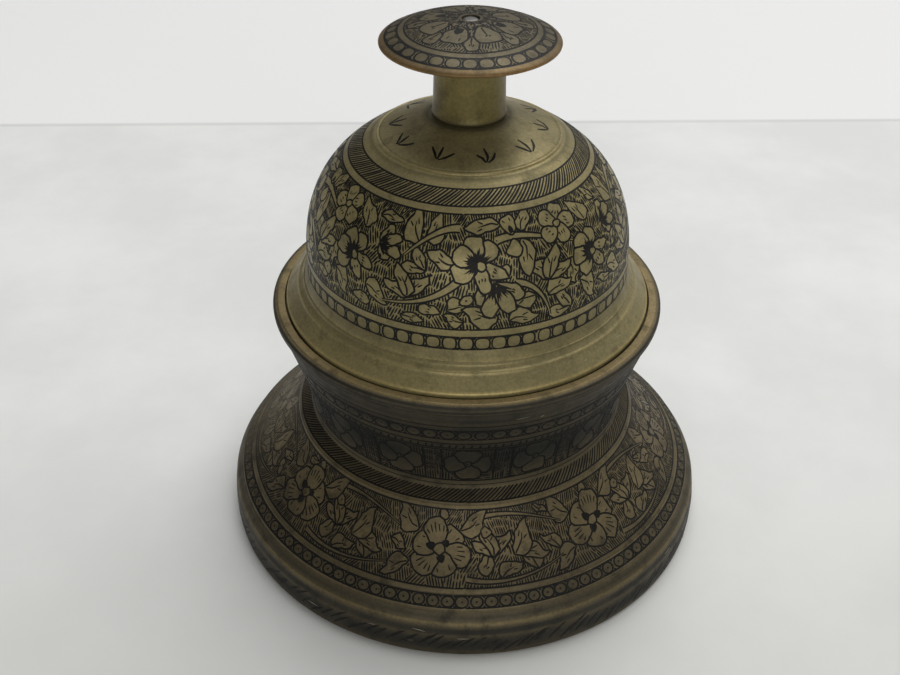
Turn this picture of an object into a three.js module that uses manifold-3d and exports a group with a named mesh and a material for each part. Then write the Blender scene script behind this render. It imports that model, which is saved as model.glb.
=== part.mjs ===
// A brass twirl bell: a domed bell standing mouth down on a hollow foot. Turning the knob on its
// crown spins a shaft, and two hinged strikers on the shaft fly out and ring the bell's wall.
// Millimetres, +Z up. The origin is the centre of the foot, on the surface the bell stands on.

import * as THREE from 'three';
import { mergeVertices } from 'three/addons/utils/BufferGeometryUtils.js';
import Module from 'manifold-3d';

const wasm = await Module();
wasm.setup();

// ---------------------------------------------------------------- driving dimensions

const GAP = 0.3;                  // clearance between pieces that touch on the real bell
const WALL = 2.4;                 // thickness of both castings
const FULL_TURN = 2 * Math.PI;

const FOOT_R = 65;                // widest radius, at the skirt
const SKIRT_H = 10.9;             // height of the near-vertical skirt
const SHOULDER_TOP_R = 45.5;      // the foot's engraved slope ends here
const SHOULDER_TOP_Z = 31.3;
const WAIST_R = 41.7;             // narrowest radius of the neck
const WAIST_Z = 35.5;
const LIP_R = 49.7;               // bulge of the base's upper lip
const LIP_TOP_Z = 66.2;
const SEAT_Z = 64.7;              // ledge inside the lip that carries the dome's mouth

const MOUTH_R = 46.2;             // rounded edge of the dome's flared mouth
const MOUTH_Z = SEAT_Z + GAP;
const FLARE_TOP_R = 42;           // the flare meets the dome's wall here
const FLARE_TOP_Z = 71.2;
const DOME_R = 40.2;              // radius of the upright wall
const DOME_SPRING_Z = 79;         // the wall starts to close in
const CROWN_EDGE_R = 22;          // raised ring round the crown
const CROWN_EDGE_Z = 110.3;
const CROWN_FLAT_R = 9.7;         // flat seat under the post
const CROWN_Z = 114.4;

const POST_FOOT_R = 8.8;
const POST_TOP_R = 8.3;
const POST_Z = CROWN_Z + 0.4;
const POST_TOP_Z = 130.6;

const KNOB_R = 20.8;
const KNOB_EDGE_Z = 132;          // middle of the knob's thin rounded edge
const KNOB_TOP_Z = 137.2;

const SHAFT_R = 2.5;
const SHAFT_FOOT_Z = 27;
const BORE_R = SHAFT_R + GAP;
const TENON_R = 1.2;              // thinner end of the shaft, peened over inside the knob's hole
const HEAD_R = 1.9;               // the peened head

const BUSH_R = 5;
const BUSH_FOOT_Z = 107;

const RIB_INNER_R = 33;           // inner ledge of the neck that carries the bridge bar
const RIB_Z = 36;
const RIB_TOP_Z = 39;
const BAR_HALF = 38.3;
const BAR_W = 14;
const BAR_T = 3;
const BAR_SCREW_X = 35.7;
const BAR_Z = RIB_TOP_Z + GAP;

const YOKE_Z = 100.5;             // underside of the yoke's cross-arm
const YOKE_T = 2.5;
const YOKE_HALF = 23.5;
const YOKE_W = 8;
const HUB_R = 6.5;
const HUB_TOP_Z = 106.6;
const SET_SCREW_Z = 104.7;
const PIVOT_X = 20;               // pivot pins, one each side of the shaft
const PIVOT_Z = 97;
const PIN_R = 1.5;
const EYE_R = 2.9;
const ARM_T = 2.4;
const EAR_T = 2;
const STRIKER_L = 19;             // pivot to the centre of the ball
const BALL_R = 4.5;
const STUD_R = 1.1;

const COARSE = 12;                // sides of a small round piece
const FINE = 24;                  // sides of a round piece the size of a washer or post
const SHELL = 48;                 // sides of the castings and the knob

// ---------------------------------------------------------------- materials

const brass = (name, color, roughness) =>
  new THREE.MeshStandardMaterial({ name, color, roughness, metalness: 1 });

const MATERIALS = {
  base_brass: brass('base_brass', 0x5e5748, 0.45),
  dome_brass: brass('dome_brass', 0x8d8050, 0.38),
  knob_brass: brass('knob_brass', 0x857a60, 0.42),
  post_brass: brass('post_brass', 0x8a7a45, 0.36),
  inner_brass: brass('inner_brass', 0xa08648, 0.4),
  steel: brass('steel', 0x8f9090, 0.4),
};

// ---------------------------------------------------------------- geometry helpers

// Revolves an outline of [radius, height] points about +Z.
function turned(outline, sides) {
  const points = outline.map(([r, z]) => new THREE.Vector2(r, z));
  const geometry = new THREE.LatheGeometry(points, sides);
  geometry.rotateX(Math.PI / 2);
  return geometry;
}

// Outline of a washer, ring or collar, closed on itself.
function ringOutline(inner, outer, low, high) {
  return [[inner, low], [outer, low], [outer, high], [inner, high], [inner, low]];
}

// Points along a cubic curve between two outline points, without the first.
function curve(from, handleA, handleB, to, steps) {
  const line = new THREE.CubicBezierCurve(
    ...[from, handleA, handleB, to].map(([r, z]) => new THREE.Vector2(r, z)));
  return line.getPoints(steps).slice(1).map((p) => [p.x, p.y]);
}

// A plate with its outline in X and Y, standing on height z.
function plate(shape, z, thickness) {
  const geometry = new THREE.ExtrudeGeometry(shape, {
    depth: thickness, bevelEnabled: false, curveSegments: COARSE / 2,
  });
  geometry.translate(0, 0, z);
  return geometry;
}

// A plate with its outline in X and Z, centred on y.
function uprightPlate(shape, y, thickness) {
  const geometry = plate(shape, -thickness / 2, thickness);
  geometry.rotateX(Math.PI / 2);
  geometry.translate(0, y, 0);
  return geometry;
}

function rod(radius, low, high, sides) {
  const geometry = new THREE.CylinderGeometry(radius, radius, high - low, sides);
  geometry.rotateX(Math.PI / 2);
  geometry.translate(0, 0, (low + high) / 2);
  return geometry;
}

// The same rod, lying along +Y.
function rodAlongY(radius, low, high, sides) {
  const geometry = new THREE.CylinderGeometry(radius, radius, high - low, sides);
  geometry.translate(0, (low + high) / 2, 0);
  return geometry;
}

function toSolid(geometry) {
  const bare = new THREE.BufferGeometry();
  bare.setAttribute('position', geometry.getAttribute('position').clone());
  if (geometry.index) bare.setIndex(geometry.index.clone());
  const merged = mergeVertices(bare, 1e-4);
  return new wasm.Manifold(new wasm.Mesh({
    numProp: 3,
    vertProperties: new Float32Array(merged.getAttribute('position').array),
    triVerts: new Uint32Array(merged.index.array),
  }));
}

// Joins the added geometries into one body and cuts the others out of it.
function carve(added, cut) {
  let solid = toSolid(added[0]);
  for (const geometry of added.slice(1)) solid = solid.add(toSolid(geometry));
  for (const geometry of cut) solid = solid.subtract(toSolid(geometry));
  const mesh = solid.getMesh();
  const result = new THREE.BufferGeometry();
  result.setAttribute('position', new THREE.BufferAttribute(new Float32Array(mesh.vertProperties), 3));
  result.setIndex(new THREE.BufferAttribute(new Uint32Array(mesh.triVerts), 1));
  return result;
}

function circlePath(x, y, radius) {
  const path = new THREE.Path();
  path.absarc(x, y, radius, 0, FULL_TURN, true);
  return path;
}

function piece(name, geometry, material) {
  const mesh = new THREE.Mesh(geometry, MATERIALS[material].clone());
  mesh.name = name;
  return mesh;
}

// ---------------------------------------------------------------- the castings

// Foot, waist and lip: one hollow casting, open below and above, with an inner ledge.
function baseStand() {
  const shoulderFoot = [58.9, 16.8];
  const shoulderTop = [SHOULDER_TOP_R, SHOULDER_TOP_Z];
  const outside = [
    [FOOT_R - 0.4, 0],
    [FOOT_R, 0.8],
    [FOOT_R, 6.5],
    [FOOT_R - 0.9, SKIRT_H],
    shoulderFoot,
    ...curve(shoulderFoot, [55, 19.8], [47.8, 27.2], shoulderTop, 5),
    [WAIST_R + 1.1, WAIST_Z - 2.2],
    [WAIST_R, WAIST_Z],
    ...curve([WAIST_R, WAIST_Z], [42, 43], [45.6, 53], [48.6, 62.4], 5),
    [LIP_R - 0.4, 63.4],
    [LIP_R, 64.8],
    [LIP_R - 0.5, LIP_TOP_Z - 0.3],
    [LIP_R - 1.1, LIP_TOP_Z],
  ];
  const rebateR = MOUTH_R + 0.6;
  const neckFoot = [WAIST_R - WALL, RIB_TOP_Z];
  const inside = [
    [rebateR, LIP_TOP_Z],
    [rebateR, SEAT_Z],
    [MOUTH_R - 3.4, SEAT_Z],
    ...curve([MOUTH_R - 3.4, SEAT_Z], [43.4, 54], [WAIST_R - WALL, 46], neckFoot, 4),
    [RIB_INNER_R, RIB_TOP_Z],
    [RIB_INNER_R, RIB_Z],
    [WAIST_R - WALL, RIB_Z],
    [SHOULDER_TOP_R - WALL - 0.6, SHOULDER_TOP_Z - WALL],
    ...curve([SHOULDER_TOP_R - WALL - 0.6, SHOULDER_TOP_Z - WALL], [46, 24], [53, 17.6],
      [56.8, 15], 4),
    [FOOT_R - 3.6, SKIRT_H - WALL],
    [FOOT_R - WALL, 5],
    [FOOT_R - WALL, 0],
  ];
  const shell = turned([...outside, ...inside, outside[0]], SHELL);
  const screwHoles = [-BAR_SCREW_X, BAR_SCREW_X].map((x) =>
    rod(PIN_R + GAP, RIB_Z - 1, RIB_TOP_Z + 1, COARSE).translate(x, 0, 0));
  return piece('base_stand', carve([shell], screwHoles), 'base_brass');
}

// The bell itself: flared mouth, upright wall, closing dome and a nearly flat crown.
function bellDome() {
  const wallFoot = [DOME_R, DOME_SPRING_Z];
  const crownFoot = [24.9, 108];
  const outside = [
    [MOUTH_R - 0.7, MOUTH_Z],
    [MOUTH_R, MOUTH_Z + 0.8],
    [MOUTH_R, MOUTH_Z + 1.8],
    [MOUTH_R - 0.6, MOUTH_Z + 2.6],
    [FLARE_TOP_R, FLARE_TOP_Z],
    [FLARE_TOP_R - 1, FLARE_TOP_Z + 1.7],
    [DOME_R + 0.2, FLARE_TOP_Z + 4],
    wallFoot,
    ...curve(wallFoot, [DOME_R, 93], [35.1, 101.7], crownFoot, 8),
    [CROWN_EDGE_R + 0.6, CROWN_EDGE_Z - 0.5],
    [CROWN_EDGE_R - 0.5, CROWN_EDGE_Z],
    [CROWN_FLAT_R, CROWN_Z],
    [BUSH_R + GAP, CROWN_Z],
  ];
  const inside = [
    [BUSH_R + GAP, CROWN_Z - WALL],
    [CROWN_FLAT_R - 0.4, CROWN_Z - WALL],
    [CROWN_EDGE_R - 1, CROWN_EDGE_Z - WALL],
    [23.6, 105.7],
    ...curve([23.6, 105.7], [33.2, 99.8], [DOME_R - WALL, 92], [DOME_R - WALL, DOME_SPRING_Z], 8),
    [DOME_R - WALL, FLARE_TOP_Z + 2.8],
    [FLARE_TOP_R - 1.7, FLARE_TOP_Z - 1.7],
    [MOUTH_R - 2.4, MOUTH_Z + 1.1],
    [MOUTH_R - 2.4, MOUTH_Z],
  ];
  return piece('bell_dome', turned([...outside, ...inside, outside[0]], SHELL), 'dome_brass');
}

// ---------------------------------------------------------------- knob, post and shaft

function knobDisc() {
  const boreR = TENON_R + GAP;
  const sinkR = HEAD_R + GAP;
  const under = POST_TOP_Z + GAP;
  const topEdge = [KNOB_R - 0.4, KNOB_EDGE_Z + 0.5];
  return piece('knob_disc', turned([
    [boreR, under],
    [POST_TOP_R + 1, under],
    [KNOB_R - 1.5, KNOB_EDGE_Z - 0.8],
    [KNOB_R - 0.4, KNOB_EDGE_Z - 0.5],
    [KNOB_R, KNOB_EDGE_Z],
    ...curve(topEdge, [16.6, 134.5], [11.5, 136.3], [sinkR, KNOB_TOP_Z], 5),
    [sinkR, KNOB_TOP_Z - 1.2],
    [boreR, KNOB_TOP_Z - 1.2],
    [boreR, under],
  ], SHELL), 'knob_brass');
}

// A sleeve, bored for the shaft and counterbored at its foot for the thrust washer.
function knobPost() {
  const counterboreR = 7.2;
  const counterboreZ = POST_Z + 0.9;
  return piece('knob_post', turned([
    [counterboreR, POST_Z],
    [POST_FOOT_R, POST_Z],
    [POST_TOP_R, POST_TOP_Z],
    [BORE_R, POST_TOP_Z],
    [BORE_R, counterboreZ],
    [counterboreR, counterboreZ],
    [counterboreR, POST_Z],
  ], FINE), 'post_brass');
}

function strikerShaft() {
  const shoulderZ = POST_TOP_Z;
  const headZ = KNOB_TOP_Z - 1.2 + GAP;
  return piece('striker_shaft', turned([
    [0, SHAFT_FOOT_Z],
    [SHAFT_R - 0.5, SHAFT_FOOT_Z],
    [SHAFT_R, SHAFT_FOOT_Z + 0.5],
    [SHAFT_R, shoulderZ],
    [TENON_R, shoulderZ],
    [TENON_R, headZ],
    [HEAD_R, headZ],
    [HEAD_R, headZ + 0.4],
    [HEAD_R - 0.7, headZ + 0.75],
    [0, headZ + 0.8],
  ], FINE), 'steel');
}

function thrustWasher() {
  const low = CROWN_Z + GAP;
  return piece('thrust_washer', turned(ringOutline(BORE_R, 6.9, low, low + 0.7), FINE), 'steel');
}

// Upper bearing: a tube through the crown with a flange inside the dome.
function crownBush() {
  const flangeR = 8.5;
  const flangeTop = CROWN_Z - WALL - GAP;
  return piece('crown_bush', turned([
    [BORE_R, BUSH_FOOT_Z],
    [BUSH_R + 1, BUSH_FOOT_Z],
    [BUSH_R + 1, flangeTop - 2],
    [flangeR, flangeTop - 2],
    [flangeR, flangeTop],
    [BUSH_R, flangeTop],
    [BUSH_R, CROWN_Z],
    [BORE_R, CROWN_Z],
    [BORE_R, BUSH_FOOT_Z],
  ], FINE), 'inner_brass');
}

// ---------------------------------------------------------------- strikers

// A cross-arm with a hub on the shaft and two ears at each end for a pivot pin.
function strikerYoke() {
  const arm = new THREE.BoxGeometry(2 * YOKE_HALF, YOKE_W, YOKE_T);
  arm.translate(0, 0, YOKE_Z + YOKE_T / 2);
  const earY = YOKE_W / 2 - EAR_T / 2;
  const earR = YOKE_HALF - PIVOT_X;
  const ears = [];
  for (const x of [-PIVOT_X, PIVOT_X]) {
    for (const y of [-earY, earY]) {
      const outline = new THREE.Shape();
      outline.moveTo(earR, YOKE_Z - PIVOT_Z + 1);
      outline.lineTo(-earR, YOKE_Z - PIVOT_Z + 1);
      outline.lineTo(-earR, 0);
      outline.absarc(0, 0, earR, Math.PI, FULL_TURN, false);
      ears.push(uprightPlate(outline, y, EAR_T).translate(x, 0, PIVOT_Z));
    }
  }
  const hub = rod(HUB_R, YOKE_Z, HUB_TOP_Z, FINE);
  const cuts = [
    rod(BORE_R, YOKE_Z - 1, HUB_TOP_Z + 1, COARSE),
    rodAlongY(PIN_R + GAP, 0, HUB_R + 1, COARSE).translate(0, 0, SET_SCREW_Z),
  ];
  for (const x of [-PIVOT_X, PIVOT_X]) {
    cuts.push(rodAlongY(PIN_R + GAP, -YOKE_W, YOKE_W, COARSE).translate(x, 0, PIVOT_Z));
  }
  return piece('striker_yoke', carve([arm, hub, ...ears], cuts), 'steel');
}

function yokeSetScrew() {
  const geometry = rodAlongY(PIN_R, BORE_R, HUB_R + 0.8, COARSE).translate(0, 0, SET_SCREW_Z);
  return piece('yoke_set_screw', geometry, 'steel');
}

function yokePin(name, x) {
  const headY = YOKE_W / 2 + GAP;
  const headR = 2.4;
  const geometry = turned([
    [0, -headY - 0.8],
    [headR, -headY - 0.8],
    [headR, -headY],
    [PIN_R, -headY],
    [PIN_R, headY],
    [headR, headY],
    [headR, headY + 0.8],
    [0, headY + 0.8],
  ], COARSE);
  geometry.rotateX(Math.PI / 2);
  return piece(name, geometry.translate(x, 0, PIVOT_Z), 'steel');
}

// A flat arm with an eye on the pin, and a round stud that goes into the ball.
function strikerArm(name, x) {
  const half = 1.5;
  const flatFoot = STRIKER_L - BALL_R - 2;
  const eyeJoin = Math.asin(half / EYE_R);
  const outline = new THREE.Shape();
  outline.moveTo(-half, -flatFoot);
  outline.lineTo(half, -flatFoot);
  outline.absarc(0, 0, EYE_R, eyeJoin - Math.PI / 2, 1.5 * Math.PI - eyeJoin, false);
  outline.holes.push(circlePath(0, 0, PIN_R + GAP));
  const flat = uprightPlate(outline, 0, ARM_T);
  const stud = rod(STUD_R, 1 - STRIKER_L, -flatFoot + 1.5, COARSE);
  return piece(name, carve([flat, stud], []).translate(x, 0, PIVOT_Z), 'steel');
}

function strikerBall(name, x) {
  const ball = new THREE.SphereGeometry(BALL_R, 20, COARSE).rotateX(Math.PI / 2);
  const hole = rod(STUD_R + GAP, 1 - GAP, BALL_R + 1, COARSE);
  const geometry = carve([ball], [hole]).translate(x, 0, PIVOT_Z - STRIKER_L);
  return piece(name, geometry, 'inner_brass');
}

// ---------------------------------------------------------------- lower bearing

function bridgeBar() {
  const outline = new THREE.Shape();
  const cornerX = BAR_HALF - 2;
  outline.moveTo(-cornerX, -BAR_W / 2);
  outline.lineTo(cornerX, -BAR_W / 2);
  outline.quadraticCurveTo(BAR_HALF + 0.6, 0, cornerX, BAR_W / 2);
  outline.lineTo(-cornerX, BAR_W / 2);
  outline.quadraticCurveTo(-BAR_HALF - 0.6, 0, -cornerX, -BAR_W / 2);
  outline.holes.push(circlePath(0, 0, BUSH_R - 0.7));
  outline.holes.push(circlePath(-BAR_SCREW_X, 0, PIN_R + GAP));
  outline.holes.push(circlePath(BAR_SCREW_X, 0, PIN_R + GAP));
  return piece('bridge_bar', plate(outline, BAR_Z, BAR_T), 'steel');
}

function bridgeBush() {
  const barTop = BAR_Z + BAR_T;
  const tubeR = BUSH_R - 1;
  const flangeR = 6.5;
  return piece('bridge_bush', turned([
    [BORE_R, BAR_Z],
    [tubeR, BAR_Z],
    [tubeR, barTop + GAP],
    [flangeR, barTop + GAP],
    [flangeR, barTop + GAP + 1.6],
    [BORE_R, barTop + GAP + 1.6],
    [BORE_R, BAR_Z],
  ], FINE), 'inner_brass');
}

function bridgeScrew(name, x) {
  const headZ = BAR_Z + BAR_T + GAP;
  const headR = 2.9;
  return piece(name, turned([
    [0, RIB_Z + 0.4],
    [PIN_R, RIB_Z + 0.4],
    [PIN_R, headZ],
    [headR, headZ],
    [headR, headZ + 1.1],
    [headR - 1, headZ + 1.8],
    [0, headZ + 1.8],
  ], COARSE).translate(x, 0, 0), 'steel');
}

const WASHER_Z = BAR_Z - GAP - 1;

function lowerWasher() {
  return piece('lower_washer', turned(ringOutline(BORE_R, 6, WASHER_Z, WASHER_Z + 1), FINE), 'steel');
}

function hexNut(name, top) {
  const height = 4;
  const cornerR = 4.6;
  const outline = new THREE.Shape();
  for (let corner = 0; corner < 6; corner += 1) {
    const angle = (corner / 6) * FULL_TURN;
    outline[corner ? 'lineTo' : 'moveTo'](cornerR * Math.cos(angle), cornerR * Math.sin(angle));
  }
  outline.holes.push(circlePath(0, 0, BORE_R));
  return piece(name, plate(outline, top - height, height), 'steel');
}

// ---------------------------------------------------------------- assembly

const bell = new THREE.Group();
bell.add(baseStand(), bellDome(), crownBush(), thrustWasher());
bell.add(bridgeBar(), bridgeBush());
bell.add(knobDisc(), knobPost(), strikerShaft(), strikerYoke(), yokeSetScrew());
for (const [letter, side] of [['a', 1], ['b', -1]]) {
  bell.add(bridgeScrew(`bridge_screw_${letter}`, side * BAR_SCREW_X));
  bell.add(yokePin(`yoke_pin_${letter}`, side * PIVOT_X));
  bell.add(strikerArm(`striker_arm_${letter}`, side * PIVOT_X));
  bell.add(strikerBall(`striker_ball_${letter}`, side * PIVOT_X));
}
bell.add(lowerWasher());
bell.add(hexNut('retaining_nut', WASHER_Z - GAP));
bell.add(hexNut('lock_nut', WASHER_Z - 2 * GAP - 4));

export default bell;
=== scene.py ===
"""A brass twirl bell, engraved all over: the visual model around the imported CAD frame.

Metres, +Z up. The castings, knob and post are rebuilt with fine turned shapes. The engraving is
thin strips of dark lacquer that stand just proud of them: nothing is cut into the brass. Outlines
and drawings are in mm.
"""

import math
import random

import bpy
import numpy as np
from mathutils import Matrix, Quaternion, Vector


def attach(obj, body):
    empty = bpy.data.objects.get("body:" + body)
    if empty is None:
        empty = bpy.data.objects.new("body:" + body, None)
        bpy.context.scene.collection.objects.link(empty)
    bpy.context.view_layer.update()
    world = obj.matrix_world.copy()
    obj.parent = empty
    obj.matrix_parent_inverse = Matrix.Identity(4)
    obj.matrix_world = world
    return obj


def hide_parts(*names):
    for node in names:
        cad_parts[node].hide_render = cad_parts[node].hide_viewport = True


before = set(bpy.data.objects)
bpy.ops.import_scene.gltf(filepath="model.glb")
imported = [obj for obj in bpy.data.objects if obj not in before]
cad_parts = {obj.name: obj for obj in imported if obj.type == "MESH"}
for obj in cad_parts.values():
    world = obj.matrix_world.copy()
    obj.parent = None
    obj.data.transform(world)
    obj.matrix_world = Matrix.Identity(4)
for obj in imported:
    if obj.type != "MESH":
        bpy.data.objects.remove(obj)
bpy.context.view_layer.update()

MM = 0.001
TURN = 2 * math.pi
SIDES = 288                 # sides of a turned shell
SHARP_ANGLE = math.radians(32)
CAMERA_PLACE = (0, -0.24445, 0.22571)
CAMERA_LENS = 45.12         # mm, on a sensor 36 mm wide
CAMERA_ANGLES = (35.7485, -0.99, 0.289)     # pitch down, yaw and roll, in degrees
TABLE_EDGE = 0.2415         # m behind the axis, where the painted tabletop ends
EDGE_SLOPE = 0.0425         # of that edge, going to the right
FLOOR_HALF = 2.5            # m, half of the floor's side
scene = bpy.context.scene


# ---------------------------------------------------------------- camera, light, floor

def add_object(name, data):
    made = bpy.data.objects.new(name, data)
    scene.collection.objects.link(made)
    return made


def add_camera():
    data = bpy.data.cameras.new("camera")
    data.sensor_width = 36
    data.lens = CAMERA_LENS
    data.clip_start, data.clip_end = 0.01, 20
    camera = add_object("camera", data)
    pitch, yaw, roll = (math.radians(angle) for angle in CAMERA_ANGLES)
    forward = Vector((math.sin(yaw) * math.cos(pitch), math.cos(yaw) * math.cos(pitch),
                      -math.sin(pitch)))
    camera.location = CAMERA_PLACE
    camera.rotation_mode = "QUATERNION"
    camera.rotation_quaternion = (forward.to_track_quat("-Z", "Y")
                                  @ Quaternion((0, 0, 1), roll))
    scene.camera = camera


def add_light(name, place, aim, size, power, colour):
    data = bpy.data.lights.new(name, "AREA")
    data.shape = "RECTANGLE"
    data.size, data.size_y = size
    data.energy = power
    data.color = colour
    light = add_object(name, data)
    light.location = place
    light.rotation_mode = "QUATERNION"
    light.rotation_quaternion = (Vector(aim) - Vector(place)).to_track_quat("-Z", "Y")


# ---------------------------------------------------------------- node materials

def node(tree, kind, inputs=(), **settings):
    """Adds a shader node. inputs maps a socket's name or number to a value or to another socket."""
    made = tree.nodes.new(kind)
    for key, value in settings.items():
        setattr(made, key, value)
    for key, value in dict(inputs).items():
        if isinstance(value, bpy.types.NodeSocket):
            tree.links.new(value, made.inputs[key])
        else:
            made.inputs[key].default_value = value
    return made


def math_node(tree, operation, a, b=0.0, clamp=False):
    made = node(tree, "ShaderNodeMath", {0: a, 1: b}, operation=operation, use_clamp=clamp)
    return made.outputs[0]


def noise(tree, vector, scale, detail=3.0, roughness=0.55, distortion=0.0):
    made = node(tree, "ShaderNodeTexNoise", {"Vector": vector, "Scale": scale, "Detail": detail,
                                             "Roughness": roughness, "Distortion": distortion})
    return made.outputs[0]


def remap(tree, value, low, high, to_low=0.0, to_high=1.0):
    made = node(tree, "ShaderNodeMapRange", {"Value": value, "From Min": low, "From Max": high,
                                             "To Min": to_low, "To Max": to_high},
                interpolation_type="SMOOTHSTEP")
    return made.outputs[0]


def blend(tree, factor, a, b):
    made = node(tree, "ShaderNodeMix", {0: factor, 6: a, 7: b}, data_type="RGBA")
    return made.outputs[2]


def rgb(red, green, blue):
    """A colour given in the usual 0 to 255 display values."""
    def linear(v):
        v /= 255
        return v / 12.92 if v <= 0.04045 else ((v + 0.055) / 1.055) ** 2.4
    return (linear(red), linear(green), linear(blue), 1.0)


def start_material(name):
    material = bpy.data.materials.new(name)
    material.use_nodes = True
    tree = material.node_tree
    place = node(tree, "ShaderNodeTexCoord").outputs["Object"]
    return material, tree, place, tree.nodes["Principled BSDF"]


def set_surface(tree, shader, colour, roughness, strength, distance, height):
    """Links the colour, the roughness and the fine relief that every material here has."""
    tree.links.new(colour, shader.inputs["Base Color"])
    tree.links.new(roughness, shader.inputs["Roughness"])
    bump = node(tree, "ShaderNodeBump", {"Strength": strength, "Distance": distance,
                                         "Height": height})
    tree.links.new(bump.outputs[0], shader.inputs["Normal"])


def lathe_marks(tree, place, scale):
    """Noise that runs in rings about the axis, as a turning tool leaves it."""
    flat = node(tree, "ShaderNodeVectorMath", {0: place, 1: (1, 1, 0)}, operation="MULTIPLY")
    radius = node(tree, "ShaderNodeVectorMath", {0: flat.outputs[0]}, operation="LENGTH")
    height = node(tree, "ShaderNodeSeparateXYZ", {0: place}).outputs["Z"]
    around = noise(tree, place, 25, 1)
    rings = node(tree, "ShaderNodeCombineXYZ", {"X": radius.outputs["Value"], "Y": height,
                                                "Z": math_node(tree, "MULTIPLY", around, 0.002)})
    return noise(tree, rings.outputs[0], scale, 2, 0.6)


def patinated_brass(name, dark, middle, light, worn_and_highlight, roughness, metallic=0.62):
    """Old brass: cloudy patina, worn bright where the wear mark is high and dirty where the grime
    mark is high. In places these marks are also a painted highlight and painted shade.
    """
    material, tree, place, shader = start_material(name)
    wear_and_highlight = node(tree, "ShaderNodeAttribute", attribute_name="wear_and_highlight").outputs["Fac"]
    grime_and_shade = node(tree, "ShaderNodeAttribute", attribute_name="grime_and_shade").outputs["Fac"]
    clouds = noise(tree, place, 55, 4, 0.6, 0.4)
    blotches = noise(tree, place, 210, 4, 0.65)
    grain = noise(tree, place, 1500, 2, 0.6)
    rings = lathe_marks(tree, place, 1800)
    colour = blend(tree, remap(tree, clouds, 0.35, 0.68), middle, light)
    colour = blend(tree, remap(tree, blotches, 0.5, 0.72, 0, 0.55), colour, dark)
    bright = math_node(tree, "MULTIPLY", wear_and_highlight, remap(tree, blotches, 0.72, 0.35, 0.55, 1.0))
    colour = blend(tree, bright, colour, worn_and_highlight)
    dirt_and_shade = math_node(tree, "MULTIPLY", grime_and_shade, remap(tree, clouds, 0.3, 0.6, 0.85, 1.0), True)
    colour = blend(tree, dirt_and_shade, colour, dark)
    speckle = remap(tree, grain, 0.3, 0.7, 0.86, 1.1)
    tint = node(tree, "ShaderNodeVectorMath", {0: colour, 1: speckle}, operation="MULTIPLY")
    tree.links.new(remap(tree, dirt_and_shade, 0, 1, metallic, metallic * 0.6), shader.inputs["Metallic"])
    shader.inputs["Specular IOR Level"].default_value = 0.32
    rough = math_node(tree, "ADD", remap(tree, blotches, 0.3, 0.7, roughness - 0.06,
                                         roughness + 0.08),
                      math_node(tree, "MULTIPLY", dirt_and_shade, 0.12))
    relief = math_node(tree, "ADD", math_node(tree, "MULTIPLY", rings, 0.6),
                       math_node(tree, "MULTIPLY", grain, 0.5))
    set_surface(tree, shader, tint.outputs[0], rough, 0.12, 0.00008, relief)
    return material


def lacquer(name, black, faded, roughness=0.5, rubbed=None):
    """The dark lacquer of the engraving, thinner and browner in places.

    rubbed is a spot (x, y, z) in metres round which the lacquer has mostly been rubbed off.
    """
    material, tree, place, shader = start_material(name)
    thin = noise(tree, place, 320, 4, 0.65)
    fine = noise(tree, place, 2600, 2, 0.6)
    colour = blend(tree, remap(tree, thin, 0.5, 0.78), black, faded)
    if rubbed:
        gap = node(tree, "ShaderNodeVectorMath", {0: place, 1: rubbed}, operation="DISTANCE")
        gap = math_node(tree, "ADD", gap.outputs["Value"],
                        math_node(tree, "MULTIPLY", thin, 0.02))
        colour = blend(tree, remap(tree, gap, 0.05, 0.026, 0.0, 0.8), colour, rgb(84, 74, 56))
    shader.inputs["Specular IOR Level"].default_value = 0.22
    rough = remap(tree, fine, 0.3, 0.7, roughness - 0.08, roughness + 0.12)
    set_surface(tree, shader, colour, rough, 0.2, 0.00005, fine)
    return material


def turned_metal(name, dark, light, roughness):
    """Plain machined metal with tool rings and a little oil."""
    material, tree, place, shader = start_material(name)
    rings = lathe_marks(tree, place, 2200)
    oil = noise(tree, place, 180, 3)
    colour = blend(tree, remap(tree, oil, 0.38, 0.66), dark, light)
    shader.inputs["Metallic"].default_value = 1.0
    rough = remap(tree, oil, 0.3, 0.7, roughness + 0.1, roughness - 0.08)
    set_surface(tree, shader, colour, rough, 0.15, 0.00006, rings)
    return material


def floor_material():
    """A pale tabletop with faint smudges, darkened towards the camera by a painted shadow. Past its
    painted back edge the same floor is paler.
    """
    material, tree, place, shader = start_material("tabletop")
    smudge = noise(tree, place, 14, 5, 0.6)
    fine = noise(tree, place, 260, 3)
    near = blend(tree, remap(tree, smudge, 0.35, 0.7), rgb(237, 238, 237), rgb(247, 248, 247))
    spot = node(tree, "ShaderNodeSeparateXYZ", {0: place})
    skew = math_node(tree, "MULTIPLY", spot.outputs["X"], -EDGE_SLOPE)
    depth = math_node(tree, "ADD", spot.outputs["Y"], skew)
    # Painted shadow: the tabletop darkens towards the camera.
    near = blend(tree, remap(tree, depth, 0.1, -0.25), near, rgb(206, 207, 203))
    edge = remap(tree, depth, TABLE_EDGE - 0.001, TABLE_EDGE + 0.001)
    colour = blend(tree, edge, near, rgb(252, 252, 253))
    line = math_node(tree, "MULTIPLY", remap(tree, depth, TABLE_EDGE - 0.003, TABLE_EDGE - 0.001),
                     remap(tree, depth, TABLE_EDGE + 0.002, TABLE_EDGE))
    colour = blend(tree, math_node(tree, "MULTIPLY", line, 0.3), colour, rgb(190, 192, 192))
    shader.inputs["Specular IOR Level"].default_value = 0.25
    set_surface(tree, shader, colour, remap(tree, fine, 0.3, 0.7, 0.5, 0.62), 0.05, 0.0002, fine)
    return material


# ---------------------------------------------------------------- turned shapes

def bezier(a, b, c, d, count):
    """Points on a cubic curve from a to d, both included."""
    t = np.linspace(0, 1, count)[:, None]
    a, b, c, d = (np.array(p, float) for p in (a, b, c, d))
    return (1 - t) ** 3 * a + 3 * (1 - t) ** 2 * t * b + 3 * (1 - t) * t ** 2 * c + t ** 3 * d


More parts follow.
